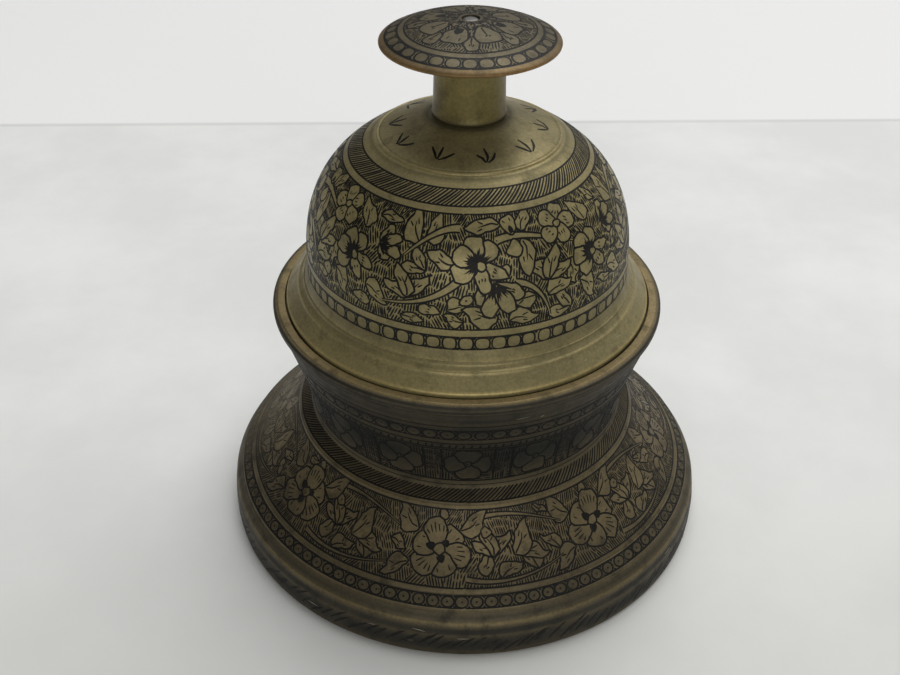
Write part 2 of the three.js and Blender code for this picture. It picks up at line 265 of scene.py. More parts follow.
def rounded(corners, closed=True):
    """An outline from (r, z) or (r, z, radius) corners: a corner with a radius is rounded."""
    count = len(corners)
    out = []
    for i, corner in enumerate(corners):
        here = np.array(corner[:2], float)
        ends = not closed and i in (0, count - 1)
        if len(corner) < 3 or ends:
            out.append(here)
            continue
        before = np.array(corners[i - 1][:2], float) - here
        after = np.array(corners[(i + 1) % count][:2], float) - here
        reach_a = min(corner[2], np.hypot(*before) * 0.45)
        reach_b = min(corner[2], np.hypot(*after) * 0.45)
        start = here + before / np.hypot(*before) * reach_a
        stop = here + after / np.hypot(*after) * reach_b
        for t in np.linspace(0, 1, 5):
            out.append((1 - t) ** 2 * start + 2 * t * (1 - t) * here + t ** 2 * stop)
    return np.array(out)


def refined(outline, step, closed=True):
    """The same outline with long straight runs split."""
    out = []
    ring = list(outline) + ([outline[0]] if closed else [])
    for a, b in zip(ring, ring[1:]):
        pieces = max(1, int(math.ceil(np.hypot(*(b - a)) / step)))
        out.extend(a + (b - a) * k / pieces for k in range(pieces))
    if not closed:
        out.append(ring[-1])
    return np.array(out)


def lathe(name, outline, marks=(), sides=SIDES, step=1.5):
    """Revolves a closed outline in mm, listed so that the metal is on its left.

    marks are (attribute, r, z, reach, value) spots, which fade with distance along the outline.
    """
    points = refined(np.array(outline), step)
    count = len(points)
    angles = np.arange(sides) * TURN / sides
    r, z = points[:, 0], points[:, 1]
    verts = np.stack([np.outer(np.sin(angles), r), -np.outer(np.cos(angles), r),
                      np.tile(z, (sides, 1))], axis=2).reshape(-1, 3) * MM
    index = np.arange(sides * count).reshape(sides, count)
    right = np.roll(index, -1, axis=0)
    faces = np.stack([index, right, np.roll(right, -1, axis=1), np.roll(index, -1, axis=1)],
                     axis=2).reshape(-1, 4)
    mesh = bpy.data.meshes.new(name)
    mesh.from_pydata(verts.tolist(), [], faces.tolist())
    for attribute in ("wear_and_highlight", "grime_and_shade"):
        values = np.zeros(count)
        for kind, mr, mz, reach, value in marks:
            if kind == attribute:
                gap = np.hypot(r - mr, z - mz) / reach
                values = np.maximum(values, value * np.exp(-gap ** 2))
        layer = mesh.attributes.new(attribute, "FLOAT", "POINT")
        layer.data.foreach_set("value", np.tile(values, sides).astype(np.float32))
    mesh.shade_smooth()
    mesh.set_sharp_from_angle(angle=SHARP_ANGLE)
    return add_object(name, mesh)


def finish_piece(piece, body, material, replaces=None):
    piece.data.materials.append(material)
    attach(piece, body)
    if replaces:
        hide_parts(replaces)


# ---------------------------------------------------------------- engraving

CELL = 0.12                 # mm, cell of the map of what is already drawn on
LIFT = 0.02                 # mm, how far the lacquer stands over the brass
SINK = 0.05                 # mm, how far it reaches into it
LONGEST = 2.6               # mm, about the longest stroke of a hatching


def unsteady(points):
    """Shifts points a little, smoothly, so that a drawn shape looks cut by hand."""
    x, y = points[:, 0], points[:, 1]
    return points + 0.16 * np.stack([np.sin(1.7 * y + 0.6 * x) + 0.6 * np.sin(3.9 * y - 1.1 * x),
                                     np.sin(1.5 * x - 0.8 * y) + 0.6 * np.sin(3.5 * x + 1.3 * y)],
                                    axis=1)


def runs(chosen):
    """The first place of each stretch of True values, and the place after its last."""
    edges = np.flatnonzero(np.diff(np.concatenate([[0], chosen.astype(int), [0]])))
    return zip(edges[::2], edges[1::2])


def on_path(path, run, marks):
    """The points of a path at the given distances along it. run is each corner's distance."""
    return np.stack([np.interp(marks, run, path[:, k]) for k in (0, 1)], axis=1)


class Strip:
    """A surface to draw on, in mm. Drawings are clipped by whatever was drawn over them first."""

    def __init__(self, columns, rows):
        self.columns, self.rows = columns, rows
        self.taken = np.zeros((rows, columns), bool)
        self.verts, self.faces, self.total = [], [], 0

    # cells -----------------------------------------------------------------

    def cells(self, points):
        points = np.atleast_2d(points)
        col = np.floor((points[:, 0] - self.x0) / CELL).astype(int)
        row = np.floor((points[:, 1] - self.y0) / CELL).astype(int)
        inside = (row >= 0) & (row < self.rows)
        if self.wraps:
            col %= self.columns
        else:
            inside &= (col >= 0) & (col < self.columns)
        return row.clip(0, self.rows - 1), col.clip(0, self.columns - 1), inside

    def free(self, points):
        row, col, inside = self.cells(points)
        return inside & ~self.taken[row, col]

    def inside(self, outline):
        """Centres of the cells inside a closed outline."""
        outline = np.asarray(outline)
        low, high = outline.min(0), outline.max(0)
        xs = np.arange(low[0], high[0] + CELL, CELL)
        ys = np.arange(low[1], high[1] + CELL, CELL)
        gx, gy = np.meshgrid(xs, ys)
        hit = np.zeros(gx.shape, bool)
        for (ax, ay), (bx, by) in zip(outline, np.roll(outline, -1, axis=0)):
            if ay == by:
                continue
            crosses = (ay > gy) != (by > gy)
            hit ^= crosses & (gx < ax + (gy - ay) * (bx - ax) / (by - ay))
        return np.stack([gx[hit], gy[hit]], axis=1)

    def take(self, outline):
        row, col, good = self.cells(self.inside(outline))
        self.taken[row[good], col[good]] = True

    def room(self, outline):
        """The share of a closed outline that is still free."""
        cells = self.inside(outline)
        return self.free(cells).mean() if len(cells) else 0.0

    # strokes ---------------------------------------------------------------

    def ribbon(self, path, widths, closed=False):
        path = np.asarray(path, float)
        count = len(path)
        if closed:
            along = np.roll(path, -1, axis=0) - np.roll(path, 1, axis=0)
        else:
            along = np.gradient(path, axis=0)
        along /= np.maximum(np.hypot(along[:, 0], along[:, 1]), 1e-9)[:, None]
        side = np.stack([-along[:, 1], along[:, 0]], axis=1) * (np.asarray(widths) / 2)[:, None]
        self.verts.append(np.stack([self.at(path + side, -SINK), self.at(path + side, LIFT),
                                    self.at(path - side, LIFT), self.at(path - side, -SINK)],
                                   axis=1).reshape(-1, 3))
        base = self.total
        last = count if closed else count - 1
        for i in range(last):
            a, b = base + 4 * i, base + 4 * ((i + 1) % count)
            for k in range(4):
                n = (k + 1) % 4
                self.faces.append((a + k, a + n, b + n, b + k))
        if not closed:
            end = base + 4 * (count - 1)
            self.faces.append((base + 3, base + 2, base + 1, base))
            self.faces.append((end, end + 1, end + 2, end + 3))
        self.total += 4 * count

    def stroke(self, path, width, start=1.0, stop=1.0, clip=True, step=0.8):
        """Draws a line. start and stop are its width at each end, as shares of the full width."""
        path = np.asarray(path, float)
        run = np.concatenate([[0], np.cumsum(np.hypot(*np.diff(path, axis=0).T))])
        length = run[-1]
        if length < 0.15:
            return
        fine = np.linspace(0, length, max(3, int(length / 0.1)))
        shown = self.free(on_path(path, run, fine)) if clip else np.ones(len(fine), bool)
        for first, after in runs(shown):
            piece = fine[first:after]
            if len(piece) < 3:
                continue
            span = piece[-1] - piece[0]
            marks = np.linspace(piece[0], piece[-1], max(3, int(math.ceil(span / step)) + 1))
            t = marks / length
            shape = np.minimum(start + (1 - start) * np.minimum(t / 0.4, 1),
                               stop + (1 - stop) * np.minimum((1 - t) / 0.4, 1))
            self.ribbon(on_path(path, run, marks), np.maximum(width * shape, 0.05))

    # motifs ----------------------------------------------------------------

    def put(self, points, x, y, angle=0.0, scale=1.0):
        """Turns, scales and moves a local shape onto the strip."""
        points = np.asarray(points, float) * scale
        c, s = math.cos(angle), math.sin(angle)
        turned = points @ np.array([[c, s], [-s, c]])
        turned[:, 0] *= self.stretch(y)
        return unsteady(turned + np.array([x, y]))

    def shape(self, outline, width):
        self.stroke(np.vstack([outline, outline[:1]]), width, step=0.4)
        self.take(outline)

    def circle(self, x, y, radius, width, dot=0.0):
        t = np.linspace(0, TURN, max(10, int(radius * 14)), endpoint=False)
        if dot:
            self.stroke(self.put([(-dot, 0), (dot, 0)], x, y, 0.6), dot * 1.6)
        self.shape(self.put(np.stack([np.cos(t), np.sin(t)], axis=1) * radius, x, y), width)

    def petal(self, x, y, angle, length, breadth, width, fullness=1.0, marks="none"):
        """A petal or leaf that starts at (x, y). fullness 1 is round-ended and 0 is pointed."""
        low = 0.2 - 0.1 * fullness
        high = 0.72 + 0.36 * fullness
        waist = 0.55 - 0.12 * fullness
        tip = 0.76 + 0.1 * fullness
        left = bezier((0, 0), (-waist * breadth, low * length),
                      (-tip * breadth, high * length), (0, length), 10)
        right = left[::-1] * (-1, 1)
        outline = np.vstack([left, right[1:-1]])
        place = (x, y, angle)
        if marks == "rib":
            self.stroke(self.put([(0, 0.12 * length), (0.03 * length, 0.4 * length),
                                  (0, 0.66 * length)], *place), width * 0.85, 1, 0.2)
            self.ticks(place, (0, 0.62 * length), 2, width)
        elif marks == "ticks":
            self.ticks(place, (0.02 * length, 0.55 * length), 3, width)
        elif marks == "fringe":
            for k in range(-3, 4):
                lean = k * 0.2
                far = np.array([math.sin(lean), math.cos(lean)]) * length * 0.86
                self.stroke(self.put([far * 0.62, far * (0.98 - 0.05 * abs(k))], *place),
                            width * 0.75, 0.2, 0.9)
        elif marks == "drop":
            self.stroke(self.put([(0, 0.13 * length), (0, 0.5 * length)], *place),
                        breadth * 0.34, 0.8, 0.25)
            for k in (-1, 1):
                self.stroke(self.put([(k * 0.2 * breadth, 0.62 * length),
                                      (k * 0.24 * breadth, 0.8 * length)], *place),
                            width * 0.7, 0.3, 0.9)
        elif marks == "brush":
            for k in range(-4, 5):
                lean = k * 0.17
                far = np.array([math.sin(lean), math.cos(lean)]) * length
                reach = 0.5 + 0.08 * ((k * 7) % 3 - 1)
                self.stroke(self.put([far * 0.08, far * reach], *place), 0.5, 1, 0.15)
        self.shape(self.put(outline, *place), width)

    def ticks(self, place, at, count, width):
        cx, cy = at
        for k in range(count):
            dx = (k - (count - 1) / 2) * 0.75
            self.stroke(self.put([(cx + dx - 0.12, cy - 0.4), (cx + dx + 0.12, cy + 0.35)],
                                 *place), width * 0.75, 0.9, 0.4)

    def leaf(self, x, y, angle, length, bend=0.15, breadth=0.46, width=0.44, lobed=True):
        """A curved pointed leaf with a midrib and ticks. A lobed one has a drawn-out tip."""
        way = 1 if bend < 0 else -1
        half = breadth * length * way

        def sweep(t):
            return length * (bend * t ** 2 + way * 0.035 * np.sin(TURN * t))

        if lobed:
            left = np.vstack([
                bezier((0, 0), (0.95 * half, 0.06 * length), (1.0 * half, 0.6 * length),
                       (0.3 * half, 0.74 * length), 10),
                bezier((0.3 * half, 0.74 * length), (0.14 * half, 0.8 * length),
                       (0.04 * half, 0.9 * length), (0, length), 6)[1:]])
        else:
            left = bezier((0, 0), (0.75 * half, 0.18 * length), (0.62 * half, 0.75 * length),
                          (0, length), 10)
        right = bezier((0, 0), (-0.72 * half, 0.22 * length), (-0.62 * half, 0.66 * length),
                       (0, length), 10)[::-1]
        outline = np.vstack([left, right[1:-1]])
        outline[:, 0] += sweep(outline[:, 1] / length)
        rib = np.array([(0, spot * length) for spot in (0.06, 0.25, 0.42, 0.58)])
        rib[:, 0] += sweep(rib[:, 1] / length)
        self.stroke(self.put(rib, x, y, angle), width * 0.85, 1, 0.4)
        cx = bend * length * 0.25
        for sign in (-1, 1):
            self.stroke(self.put([(cx + sign * 0.16 * half, 0.46 * length),
                                  (cx + sign * 0.3 * half, 0.62 * length)], x, y, angle),
                        width * 0.8, 0.9, 0.4)
        self.shape(self.put(outline, x, y, angle), width)

    def stem(self, path, breadth, width):
        """Two lines that taper together, along a smooth path given by four curve points."""
        path = bezier(*path, 24)
        along = np.gradient(path, axis=0)
        along /= np.hypot(along[:, 0], along[:, 1])[:, None]
        side = np.stack([-along[:, 1], along[:, 0]], axis=1)
        half = (np.linspace(1, 0.25, len(path)) * breadth / 2)[:, None]
        left, right = path + side * half, path - side * half
        self.stroke(left, width, 1, 0.5)
        self.stroke(right, width, 1, 0.5)
        self.take(np.vstack([left, right[::-1]]))

    # fillings --------------------------------------------------------------

    def patches(self, spacing, rng):
        """Owner of every cell, for patches about spacing wide, and each patch's middle."""
        nx = max(1, round(self.columns * CELL / spacing))
        ny = max(1, round(self.rows * CELL / spacing))
        gx, gy = self.columns * CELL / nx, self.rows * CELL / ny
        seeds = np.array([[((i + rng.uniform(0.15, 0.85)) * gx, (j + rng.uniform(0.15, 0.85)) * gy)
                           for i in range(nx)] for j in range(ny)])
        x = (np.arange(self.columns) + 0.5) * CELL
        y = (np.arange(self.rows) + 0.5) * CELL
        cx, cy = np.meshgrid(x, y)
        col = np.minimum((cx / gx).astype(int), nx - 1)
        row = np.minimum((cy / gy).astype(int), ny - 1)
        best = np.full(cx.shape, 1e9)
        owner = np.zeros(cx.shape, int)
        wide = self.columns * CELL
        for dj in (-1, 0, 1):
            for di in (-1, 0, 1):
                j = (row + dj).clip(0, ny - 1)
                i = (col + di) % nx if self.wraps else (col + di).clip(0, nx - 1)
                dx = np.abs(seeds[j, i, 0] - cx)
                if self.wraps:
                    dx = np.minimum(dx, wide - dx)
                gap = np.hypot(dx, seeds[j, i, 1] - cy)
                closer = gap < best
                best[closer] = gap[closer]
                owner[closer] = (j * nx + i)[closer]
        return owner, seeds.reshape(-1, 2)

    def hatch(self, rng, pitch, width, spacing, angle_of):
        """Fills what is still free with short engraved strokes, in patches of one direction."""
        owner, middles = self.patches(spacing, rng)
        reach = spacing * 1.3
        t = np.arange(-reach, reach, 0.1)
        for number, (mx, my) in enumerate(middles):
            angle = angle_of(mx + self.x0, my + self.y0, rng)
            along = np.array([math.cos(angle), math.sin(angle)])
            across = np.array([-along[1], along[0]])
            step = pitch * rng.uniform(0.88, 1.15)
            middle = np.array([mx + self.x0, my + self.y0])
            for k in range(int(-reach / step), int(reach / step) + 1):
                offset = (k + rng.uniform(-0.12, 0.12)) * step
                line = middle + across * offset + t[:, None] * along
                row, col, good = self.cells(line)
                good &= ~self.taken[row, col] & (owner[row, col] == number)
                for first, after in runs(good):
                    run = line[first:after]
                    if len(run) < 5:
                        continue
                    parts = max(1, round(len(run) * 0.1 / LONGEST))
                    for part in np.array_split(run, parts):
                        if len(part) > 5:
                            picks = part[np.linspace(1, len(part) - 2, 4).astype(int)]
                            full = width * rng.uniform(0.8, 1.2)
                            self.ribbon(picks, full * np.array([0.55, 1, 1, 0.4]))

    def mesh(self, name):
        mesh = bpy.data.meshes.new(name)
        mesh.from_pydata((np.vstack(self.verts) * MM).tolist(), [], self.faces)
        mesh.validate()
        return add_object(name, mesh)


class Band(Strip):
    """A strip round a turned surface: x runs round it from the front, and y along its outline."""

    wraps = True
    x0 = y0 = 0.0

    def __init__(self, outline):
        self.rz = refined(np.array(outline, float), 0.5, closed=False)
        steps = np.hypot(*np.diff(self.rz, axis=0).T)
        self.s = np.concatenate([[0], np.cumsum(steps)])
        self.height = self.s[-1]
        self.radius = float(np.interp(self.height / 2, self.s, self.rz[:, 0]))
        self.length = TURN * self.radius
        tangent = np.gradient(self.rz, axis=0)
        tangent /= np.hypot(tangent[:, 0], tangent[:, 1])[:, None]
        self.normal = np.stack([tangent[:, 1], -tangent[:, 0]], axis=1)
        super().__init__(int(self.length / CELL), int(self.height / CELL) + 1)

    def at(self, points, lift):
        y = points[:, 1].clip(0, self.height)
        r = np.interp(y, self.s, self.rz[:, 0]) + lift * np.interp(y, self.s, self.normal[:, 0])
        z = np.interp(y, self.s, self.rz[:, 1]) + lift * np.interp(y, self.s, self.normal[:, 1])
        angle = points[:, 0] / self.radius
        return np.stack([r * np.sin(angle), -r * np.cos(angle), z], axis=1)

    def stretch(self, y):
        return self.radius / float(np.interp(y, self.s, self.rz[:, 0]))

    def ring(self, y, width):
        x = np.arange(SIDES) * self.length / SIDES
        self.ribbon(np.stack([x, np.full(SIDES, y)], axis=1), np.full(SIDES, width), closed=True)

    def edges(self, width):
        self.ring(width / 2, width)
        self.ring(self.height - width / 2, width)

    def slanted_lines(self, rng, count, width, lean):
        """Strokes from edge to edge that lean to the right going up."""
        for k in range(count):
            x = (k + rng.uniform(-0.07, 0.07)) * self.length / count
            slip = lean * self.height * rng.uniform(0.97, 1.03)
            path = bezier((x, 0.15), (x + slip * 0.34, self.height * 0.33),
                          (x + slip * 0.68, self.height * 0.66), (x + slip, self.height - 0.15), 6)
            self.stroke(path, width * rng.uniform(0.82, 1.15), 0.85, 0.8, clip=False)

    def beads(self, rng, count, squareness, width, gap, dot=0.0, margin=0.3):
        """A row of beads with dark outlines and dark corners between them."""
        pitch = self.length / count
        half_h = self.height / 2 - margin
        for k in range(count):
            cx = k * pitch + rng.uniform(-0.06, 0.06) * pitch
            half_w = (pitch - gap) / 2 * rng.uniform(0.94, 1.04)
            t = np.linspace(0, TURN, 16, endpoint=False)
            c, s = np.cos(t), np.sin(t)
            bead = np.stack([np.sign(c) * np.abs(c) ** squareness * half_w,
                             np.sign(s) * np.abs(s) ** squareness * half_h
                             * rng.uniform(0.93, 1.02)], axis=1)
            outline = bead + np.array([cx, self.height / 2])
            ring = np.vstack([outline, outline[:1]])
            self.stroke(ring, width * rng.uniform(0.85, 1.15), clip=False, step=0.7)
            if dot:
                spot = cx + rng.uniform(-0.2, 0.2)
                self.stroke(np.array([(spot - dot, self.height / 2),
                                      (spot + dot, self.height / 2)]), dot * 1.7, clip=False)
            side = cx + pitch / 2
            for edge, way in ((0.05, 1), (self.height - 0.05, -1)):
                self.stroke(np.array([(side, edge), (side, edge + way * half_h * 0.55)]),
                            pitch * 0.24, 1, 0.2, clip=False, step=0.4)


class Disc(Strip):
    """The top of the knob, drawn on from straight above: x to the right and y away."""

    wraps = False

    def __init__(self, outline):
        self.rz = np.array(outline, float)
        self.reach = self.rz[-1, 0]
        self.x0 = self.y0 = -self.reach
        cells = int(2 * self.reach / CELL)
        super().__init__(cells, cells)
        spots = (np.arange(cells) + 0.5) * CELL - self.reach
        gx, gy = np.meshgrid(spots, spots)
        self.from_middle = np.hypot(gx, gy)

    def at(self, points, lift):
        radius = np.hypot(points[:, 0], points[:, 1])
        z = np.interp(radius, self.rz[:, 0], self.rz[:, 1]) + lift
        return np.stack([points[:, 0], points[:, 1], z], axis=1)

    def stretch(self, y):
        return 1.0

    def ring(self, radius, width):
        t = np.arange(SIDES) * TURN / SIDES
        path = np.stack([np.sin(t), -np.cos(t)], axis=1) * radius
        self.ribbon(path[::-1], np.full(SIDES, width), closed=True)


# ---------------------------------------------------------------- the castings' outlines

FOOT_SLOPE = bezier((58.9, 16.8), (55, 19.8), (47.8, 27.2), (45.5, 31.3), 26)
NECK = bezier((41.7, 35.5), (42, 43), (45.6, 53), (48.6, 62.4), 30)
DOME = bezier((40.2, 79), (40.2, 93), (35.1, 101.7), (24.9, 108), 42)
KNOB = bezier((20.4, 132.5), (16.6, 134.5), (11.5, 136.3), (2.2, 137.2), 26)


def between(curve, low, high):
    """The part of a rising outline between two heights, ends included."""
    z = curve[:, 1]
    inner = curve[(z > low) & (z < high)]
    ends = [[np.interp(h, z, curve[:, 0]), h] for h in (low, high)]
    return np.vstack([ends[:1], inner, ends[1:]])


def base_outline():
    outside = rounded([
        (62.8, 0, 0.4), (64.6, 0, 0.6), (65.0, 1.6, 1.2), (65.0, 6.5, 2.5), (64.55, 9.6, 0.8),
        (64.5, 10.1, 0.2), (64.2, 10.9, 0.5), (62.75, 13.0, 0.2), (62.45, 13.2, 0.1),
        (62.2, 13.9, 0.1), (59.7, 16.1, 0.1), (59.4, 16.1, 0.1),
    ], closed=False)
    step_up = rounded([
        (45.5, 31.3), (45.35, 31.75, 0.1), (45.0, 32.1, 0.1), (44.9, 32.3, 0.1),
        (41.9, 34.4, 0.3), (41.7, 35.5),
    ], closed=False)
    lip = rounded([
        (48.6, 62.4), (48.55, 62.9, 0.1), (49.0, 63.3, 0.3), (49.7, 64.1, 0.6),
        (49.7, 65.4, 0.5), (49.3, 65.9, 0.2), (48.7, 65.95, 0.1), (48.4, 66.2, 0.15),
        (46.6, 66.2, 0.15), (46.5, 64.7, 0.1), (42.8, 64.7, 0.3),
    ], closed=False)
    inner_neck = bezier((42.8, 64.7), (43.4, 54), (39.3, 46), (39.3, 39), 12)
    rib = rounded([(39.3, 39), (33, 39, 0.4), (33, 36, 0.4), (39.3, 36, 0.5), (42.3, 28.9)],
                  closed=False)
    inner_slope = bezier((42.3, 28.9), (46, 24), (53, 17.6), (56.8, 15), 8)
    inner_foot = rounded([(56.8, 15), (61.4, 8.5, 2), (62.6, 5, 1), (62.6, 0.5)], closed=False)
    parts = [outside, FOOT_SLOPE, step_up[1:], NECK[1:], lip[1:], inner_neck[1:], rib[1:],
             inner_slope[1:], inner_foot[1:]]
    return np.vstack(parts)


def dome_outline():
    flange = rounded([
        (43.8, 65, 0.2), (45.6, 65, 0.5), (46.2, 65.9, 0.4), (46.2, 67.0, 0.4),
        (45.75, 67.5, 0.3), (43.1, 70.2, 0.5), (42.9, 70.7, 0.2), (42.3, 71.0, 0.2),
        (41.55, 71.75, 0.5), (41.4, 72.4, 0.1), (41.1, 72.55, 0.1), (40.75, 74.2, 0.5),
        (40.35, 75.4, 0.2), (40.2, 79),
    ], closed=False)
    crown = rounded([
        (24.9, 108), (22.5, 109.45, 0.6), (22.25, 109.5, 0.12), (22.05, 109.95, 0.16),
        (21.6, 110.12, 0.15), (21.3, 109.98, 0.1), (21.0, 110.2, 0.15), (9.9, 114.35, 0.3),
        (9.2, 114.4, 0.1), (5.3, 114.4, 0.1), (5.3, 112, 0.1), (9.3, 112, 0.3), (21, 107.9, 1),
        (23.6, 105.7),
    ], closed=False)
    inside = bezier((23.6, 105.7), (33.2, 99.8), (37.8, 92), (37.8, 79), 24)
    mouth = rounded([(37.8, 79), (37.8, 74, 1), (40.3, 69.5, 1), (43.8, 66.1, 0.3)],
                    closed=False)
    return np.vstack([flange, DOME[1:], crown[1:], inside[1:], mouth[1:]])


def knob_outline():
    under = rounded([
        (1.5, 130.9), (9.3, 130.9, 0.3), (17.5, 131.15, 1.5), (19.8, 131.35, 0.5),
        (20.6, 131.55, 0.4), (20.8, 132.1, 0.35), (20.4, 132.5),
    ], closed=False)
    sink = rounded([(2.2, 137.2), (2.05, 137.1, 0.1), (2.0, 136, 0.1), (1.5, 136, 0.1)],
                   closed=False)
    return np.vstack([under, KNOB[1:], sink[1:]])


def post_outline():
    return rounded([
        (7.2, 114.8, 0.1), (8.7, 114.8, 0.2), (8.8, 115.3, 0.2), (8.55, 116.4, 0.8),
        (8.3, 124, 4), (8.3, 129.8, 0.6), (8.5, 130.55, 0.15), (2.8, 130.6, 0.1),
        (2.8, 115.7, 0.1), (7.2, 115.7, 0.1),
    ])


def shaft_outline():
    """A thin core line keeps the shaft's outline closed all round."""
    return rounded([
        (0.02, 27), (2.1, 27, 0.2), (2.5, 27.5, 0.2), (2.5, 130.6, 0.1), (1.2, 130.6, 0.1),
        (1.2, 136.3), (1.9, 136.3, 0.1), (1.9, 136.75, 0.3), (1.2, 137.02, 0.4), (0.02, 137.1),
    ], closed=False)


# ---------------------------------------------------------------- build

add_camera()

# Its dark colour is what the grime mark darkens to, so on the neck it is partly painted shade.
BASE_BRASS = patinated_brass("base_patina", rgb(35, 35, 31), rgb(118, 105, 78),
                             rgb(142, 127, 93), rgb(166, 145, 92), 0.48)
DOME_BRASS = patinated_brass("dome_brass_patina", rgb(96, 89, 62), rgb(134, 124, 88),
                             rgb(150, 138, 96), rgb(184, 166, 110), 0.42, 0.45)
KNOB_BRASS = patinated_brass("knob_patina", rgb(58, 53, 41), rgb(90, 83, 64),
                             rgb(101, 92, 70), rgb(140, 108, 64), 0.46, 0.5)
POST_BRASS = patinated_brass("post_patina", rgb(56, 51, 31), rgb(104, 93, 52),
                             rgb(118, 106, 60), rgb(138, 124, 70), 0.4, 0.2)
INNER_BRASS = turned_metal("inner_turned_brass", rgb(120, 98, 54), rgb(168, 142, 84), 0.42)
STEEL = turned_metal("turned_steel", rgb(96, 94, 90), rgb(150, 150, 148), 0.38)
LACQUER = lacquer("cut_lacquer", rgb(15, 14, 11), rgb(38, 34, 25))
DULL_LACQUER = lacquer("worn_cut_lacquer", rgb(17, 17, 14), rgb(50, 46, 38), 0.6,
                       (-0.052, 0.02, 0.022))
# Scratches are drawn like the engraving, in a pale colour.
BARE_BRASS = lacquer("bare_scratch", rgb(150, 146, 128), rgb(112, 108, 92), 0.5)
FAINT_LACQUER = lacquer("faint_cut_lacquer", rgb(11, 11, 9), rgb(24, 23, 19), 0.7)

base = lathe("base_casting", base_outline(), [
    ("wear_and_highlight", 64.2, 10.85, 0.2, 0.6), ("grime_and_shade", 61.0, 15.0, 2.0, 0.75),
    ("grime_and_shade", 63.5, 12.2, 2.2, 0.85), ("grime_and_shade", 64.7, 8.4, 2.2, 1.0),
    ("wear_and_highlight", 45.35, 31.6, 0.5, 0.2), ("wear_and_highlight", 48.5, 66.1, 0.25, 0.5),
    ("wear_and_highlight", 47.3, 66.2, 0.7, 0.8),
    ("grime_and_shade", 65, 4.0, 5.6, 1.0), ("grime_and_shade", 62.4, 13.4, 0.3, 0.8),
    # The neck up to the lip's bulge is darkened: partly real dirt, partly painted shade cast by the
    # lip.
    ("grime_and_shade", 43.5, 46, 16, 1.0), ("grime_and_shade", 45.5, 57, 7, 1.0), ("grime_and_shade", 47.6, 60.6, 3, 1.0),
    ("grime_and_shade", 48.8, 62.7, 1.2, 1.0), ("grime_and_shade", 49.8, 64.4, 1.1, 1.0),
    ("grime_and_shade", 49.4, 65.5, 0.9, 1.0),
    ("grime_and_shade", 46.8, 65.2, 0.8, 1.0), ("grime_and_shade", 38, 40, 8, 0.8), ("grime_and_shade", 55, 12, 9, 0.8),
])
finish_piece(base, "stand", BASE_BRASS, "base_stand")

dome = lathe("dome_casting", dome_outline(), [
    # The flange's bright rim is partly real wear and partly a painted highlight.
    ("wear_and_highlight", 46.15, 67.2, 0.4, 0.9), ("wear_and_highlight", 42.85, 70.7, 0.35, 0.2),
    ("wear_and_highlight", 22.2, 110.1, 0.5, 0.35), ("wear_and_highlight", 41.2, 72.6, 0.4, 0.3),
    ("grime_and_shade", 41.4, 72.2, 0.25, 0.8), ("grime_and_shade", 23.0, 109.0, 0.3, 0.8),
    ("grime_and_shade", 9.6, 114.3, 0.9, 0.9), ("grime_and_shade", 46, 65.2, 0.5, 1.0), ("grime_and_shade", 38, 75, 4, 0.7),
])
finish_piece(dome, "stand", DOME_BRASS, "bell_dome")

knob = lathe("knob_turned", knob_outline(), [
    ("wear_and_highlight", 20.8, 132.0, 0.5, 1.0), ("wear_and_highlight", 20.2, 132.6, 0.8, 0.5),
    ("grime_and_shade", 2.6, 136.6, 0.8, 1.0), ("grime_and_shade", 9.2, 130.9, 1.0, 0.8),
], step=1.0)
finish_piece(knob, "rotor", KNOB_BRASS, "knob_disc")

post = lathe("post_turned", post_outline(), [
    ("grime_and_shade", 8.8, 115.0, 0.5, 1.0), ("grime_and_shade", 8.5, 130.5, 0.5, 0.6),
    ("wear_and_highlight", 8.3, 124, 4, 0.2),
], sides=128, step=0.8)
finish_piece(post, "rotor", POST_BRASS, "knob_post")

shaft = lathe("striker_shaft_turned", shaft_outline(), [
    ("grime_and_shade", 2.5, 114, 12, 0.6),
], sides=64, step=1.5)
finish_piece(shaft, "rotor", STEEL, "striker_shaft")


def smooth_ball(side):
    """A striker's ball, finely turned, where the CAD frame has it."""
    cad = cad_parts["striker_ball_" + side]
    spots = np.array([cad.matrix_world @ v.co for v in cad.data.vertices]) / MM
    low, high = spots.min(0), spots.max(0)
    radius = (high[0] - low[0]) / 2
    middle = np.array([(low[0] + high[0]) / 2, (low[1] + high[1]) / 2, low[2] + radius])
    rise = np.linspace(-math.pi / 2, math.pi / 2, 40)
    outline = np.stack([np.maximum(radius * np.cos(rise), 0.02), radius * np.sin(rise)], axis=1)
    ball = lathe("striker_ball_turned_" + side, outline, sides=64)
    ball.data.transform(Matrix.Translation(middle * MM))
    finish_piece(ball, "striker_" + side, INNER_BRASS, "striker_ball_" + side)


for side in "ab":
    smooth_ball(side)

REPLACED = ("base_stand", "bell_dome", "knob_disc", "knob_post", "striker_shaft",
            "striker_ball_a", "striker_ball_b")
for name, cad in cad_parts.items():
    if name in REPLACED:
        continue
    slots = cad.data.materials
    brassy = "brass" in (slots[0].name if len(slots) and slots[0] else "")
    slots.clear()
    slots.append(INNER_BRASS if brassy else STEEL)


# ---------------------------------------------------------------- the drawings

def engrave(strip, name, body, material):
    finish_piece(strip.mesh(name), body, material)


def bell_flower(strip, x, y, size, turn):
    """Round petals with a dark brush, two leafy ones below, and a round heart."""
    strip.circle(x + 0.13 * size, y - 0.06 * size, 0.19 * size, 0.46)
    for angle, length, breadth, marks, full in (
            (64, 0.98, 0.76, "brush", 1.0), (12, 1.02, 0.8, "brush", 1.0),
            (-42, 0.98, 0.74, "brush", 1.0), (120, 1.0, 0.8, "brush", 1.0),
            (-163, 1.15, 0.54, "ticks", 0.4), (-116, 1.2, 0.54, "ticks", 0.3)):
        strip.petal(x, y, math.radians(angle) + turn, length * size, breadth * size, 0.48, full,
                    marks)


